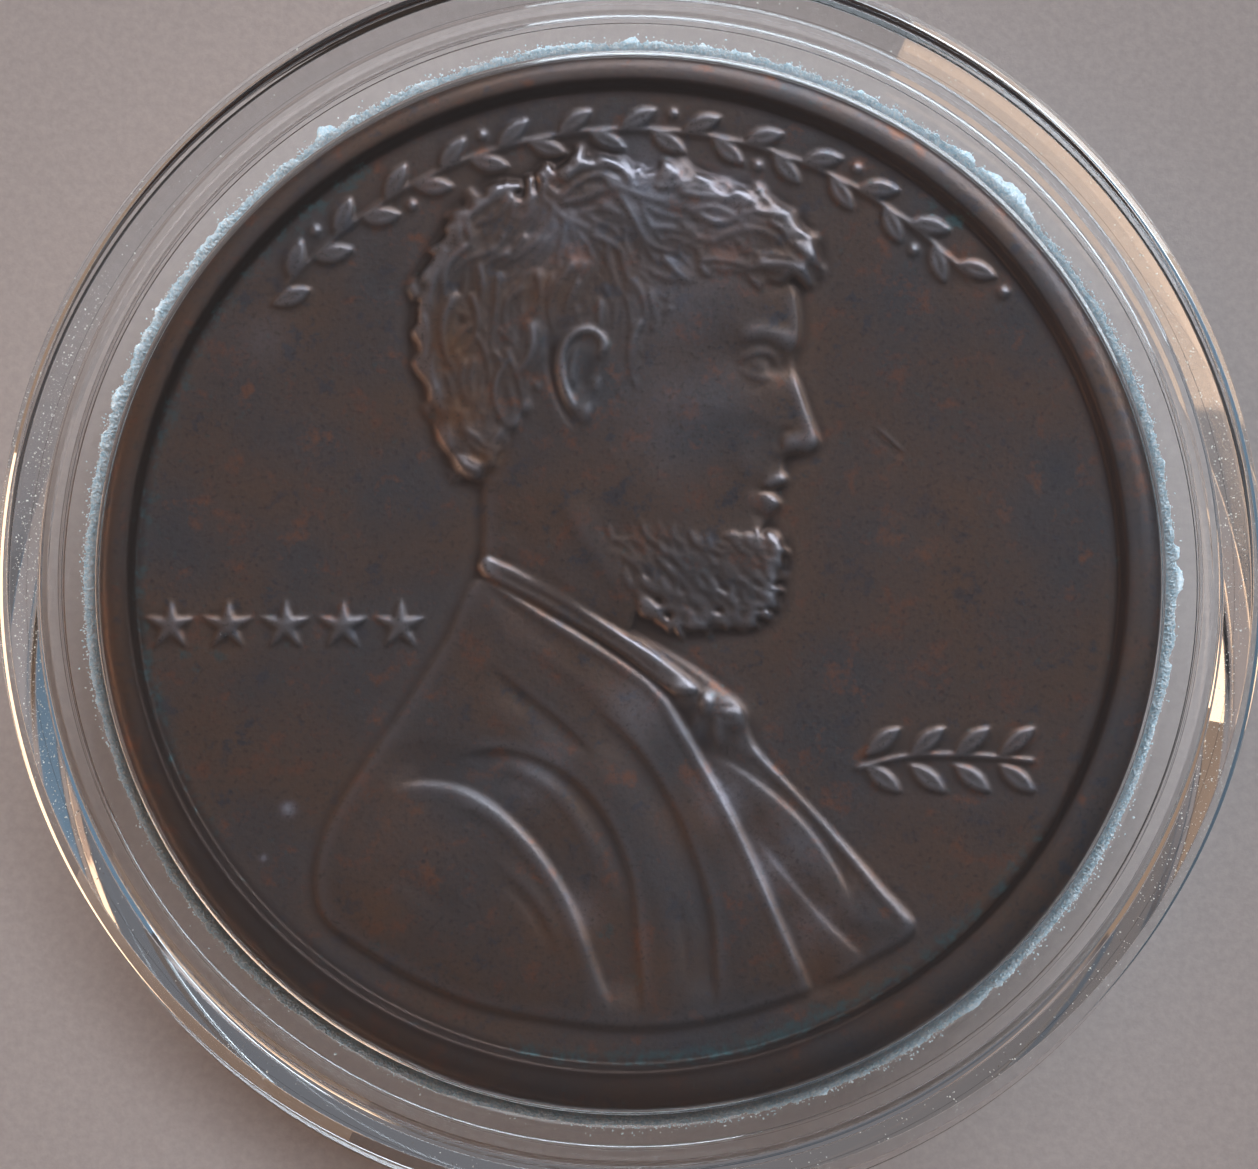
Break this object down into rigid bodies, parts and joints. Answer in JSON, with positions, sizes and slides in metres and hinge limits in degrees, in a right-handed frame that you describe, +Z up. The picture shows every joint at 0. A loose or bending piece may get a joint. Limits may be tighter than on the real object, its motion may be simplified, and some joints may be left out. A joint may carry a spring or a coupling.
{
  "type": "coin capsule",
  "caption": "Clear round coin capsule: a shallow base with a fitted recess, a lid that presses on over it, and the bronze coin it holds.",
  "frame": {"origin": "centre of the flat underside of the base", "axes": "+Z up through the lid's window, which is also the capsule's axis; +Y is the top of the coin's upper face, and +X is to the right of it"},
  "size_m": [0.0226, 0.0226, 0.004],
  "materials": {
    "clear_base": "clear moulded acrylic, scuffed and frosted around the recess",
    "clear_lid": "clear moulded acrylic, polished, with fine scratches and dust",
    "aged_bronze": "aged coin bronze, dark brown with a satin sheen and a few green specks"
  },
  "bodies": {
    "base": {"base_shell": "clear_base"},
    "coin": {"coin": "aged_bronze"},
    "lid": {"lid_shell": "clear_lid"}
  },
  "joints": [
    {"name": "coin_lift", "type": "slide", "parent": "base", "child": "coin", "axis": [0, 0, 1], "range_m": [0, 0.008]},
    {"name": "lid_lift", "type": "slide", "parent": "coin", "child": "lid", "axis": [0, 0, 1], "range_m": [0, 0.015]}
  ]
}
